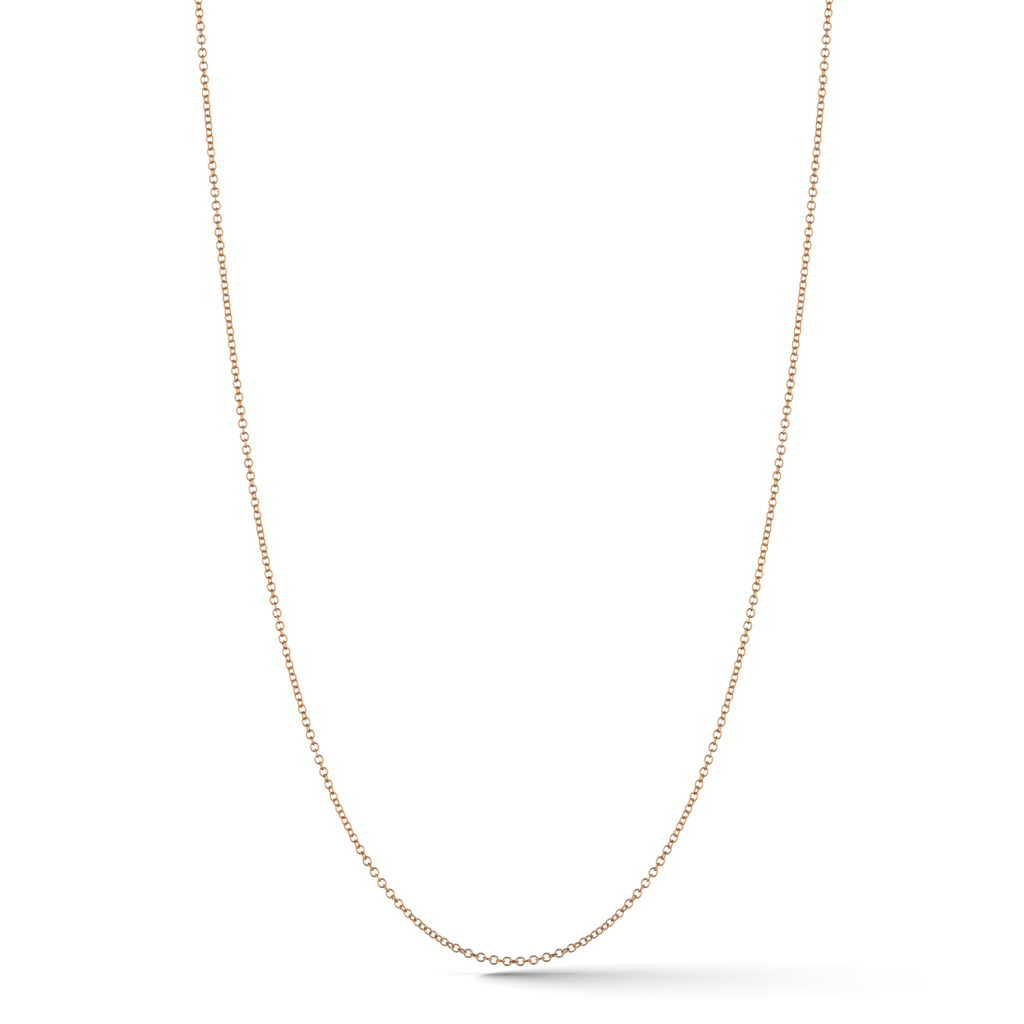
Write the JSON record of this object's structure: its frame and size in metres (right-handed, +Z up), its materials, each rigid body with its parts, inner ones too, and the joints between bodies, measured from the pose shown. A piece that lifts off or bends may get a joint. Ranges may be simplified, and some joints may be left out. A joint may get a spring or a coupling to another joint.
{
  "type": "chain necklace",
  "caption": "Fine round-link rolo chain necklace closed by a spring ring clasp, hanging in a deep U as it is worn.",
  "frame": {"origin": "the nape: on the line of the chain, midway between the two last links, through the closed clasp", "axes": "+Z up, the drape hangs in front at -Y, the wearer's left is +X"},
  "size_m": [0.1128, 0.0623, 0.2181],
  "materials": {
    "rose_gold": "polished",
    "spring_steel": "drawn wire"
  },
  "bodies": {
    "collar": {"shoulder_left": "rose_gold", "shoulder_right": "rose_gold", "collar_left_front": "rose_gold", "collar_left_side": "rose_gold", "collar_left_back": "rose_gold", "collar_left_end": "rose_gold", "collar_right_front": "rose_gold", "collar_right_side": "rose_gold", "collar_right_back": "rose_gold", "collar_right_end": "rose_gold"},
    "tier_1": {"tier_1_left": "rose_gold", "tier_1_right": "rose_gold"},
    "tier_2": {"tier_2_left": "rose_gold", "tier_2_right": "rose_gold"},
    "tier_3": {"tier_3_left_low": "rose_gold", "tier_3_left_high": "rose_gold", "tier_3_right_low": "rose_gold", "tier_3_right_high": "rose_gold"},
    "tier_4": {"tier_4_left_low": "rose_gold", "tier_4_left_high": "rose_gold", "tier_4_right_low": "rose_gold", "tier_4_right_high": "rose_gold"},
    "tier_5": {"tier_5_left": "rose_gold", "tier_5_right": "rose_gold"},
    "tier_6": {"tier_6_left": "rose_gold", "tier_6_right": "rose_gold"},
    "tier_7": {"tier_7_left": "rose_gold", "tier_7_middle": "rose_gold", "tier_7_right": "rose_gold"},
    "jump_ring": {"jump_ring": "rose_gold"},
    "catch_ring": {"catch_ring": "rose_gold"},
    "clasp": {"clasp_tube": "rose_gold", "clasp_eyelet": "rose_gold", "clasp_spring": "spring_steel"},
    "clasp_bolt": {"clasp_bolt": "rose_gold"}
  },
  "joints": [
    {"name": "swing_1", "type": "hinge", "parent": "collar", "child": "tier_1", "pos_m": [0, -0.05995, -0.03861], "axis": [-1, 0, 0], "range_deg": [-90, 90]},
    {"name": "swing_2", "type": "hinge", "parent": "tier_1", "child": "tier_2", "pos_m": [0, -0.05995, -0.06206], "axis": [-1, 0, 0], "range_deg": [-90, 90]},
    {"name": "swing_3", "type": "hinge", "parent": "tier_2", "child": "tier_3", "pos_m": [0, -0.05995, -0.08772], "axis": [-1, 0, 0], "range_deg": [-90, 90]},
    {"name": "swing_4", "type": "hinge", "parent": "tier_3", "child": "tier_4", "pos_m": [0, -0.05995, -0.12663], "axis": [-1, 0, 0], "range_deg": [-90, 90]},
    {"name": "swing_5", "type": "hinge", "parent": "tier_4", "child": "tier_5", "pos_m": [0, -0.05995, -0.15636], "axis": [-1, 0, 0], "range_deg": [-90, 90]},
    {"name": "swing_6", "type": "hinge", "parent": "tier_5", "child": "tier_6", "pos_m": [0, -0.05995, -0.17899], "axis": [-1, 0, 0], "range_deg": [-80, 80]},
    {"name": "swing_7", "type": "hinge", "parent": "tier_6", "child": "tier_7", "pos_m": [0, -0.05995, -0.20008], "axis": [-1, 0, 0], "range_deg": [-60, 60]},
    {"name": "jump_ring_roll", "type": "hinge", "parent": "collar", "child": "jump_ring", "pos_m": [0, 0, 0], "axis": [1, 0, 0], "range_deg": [-30, 30]},
    {"name": "catch_ring_roll", "type": "hinge", "parent": "collar", "child": "catch_ring", "pos_m": [0, 0, 0], "axis": [1, 0, 0], "range_deg": [-30, 30]},
    {"name": "clasp_roll", "type": "hinge", "parent": "collar", "child": "clasp", "pos_m": [0, 0, 0], "axis": [1, 0, 0], "range_deg": [-60, 60]},
    {"name": "bolt_slide", "type": "hinge", "parent": "clasp", "child": "clasp_bolt", "pos_m": [0.00131, 0, 0], "axis": [0, 1, 0], "range_deg": [0, 42], "stiffness_Nm_per_rad": 0.0015, "springref_deg": -11.46}
  ],
  "couplings": [
    {"joint": "jump_ring_roll", "follows": "clasp_roll", "ratio": 0.5},
    {"joint": "catch_ring_roll", "follows": "clasp_roll", "ratio": 0.5}
  ]
}
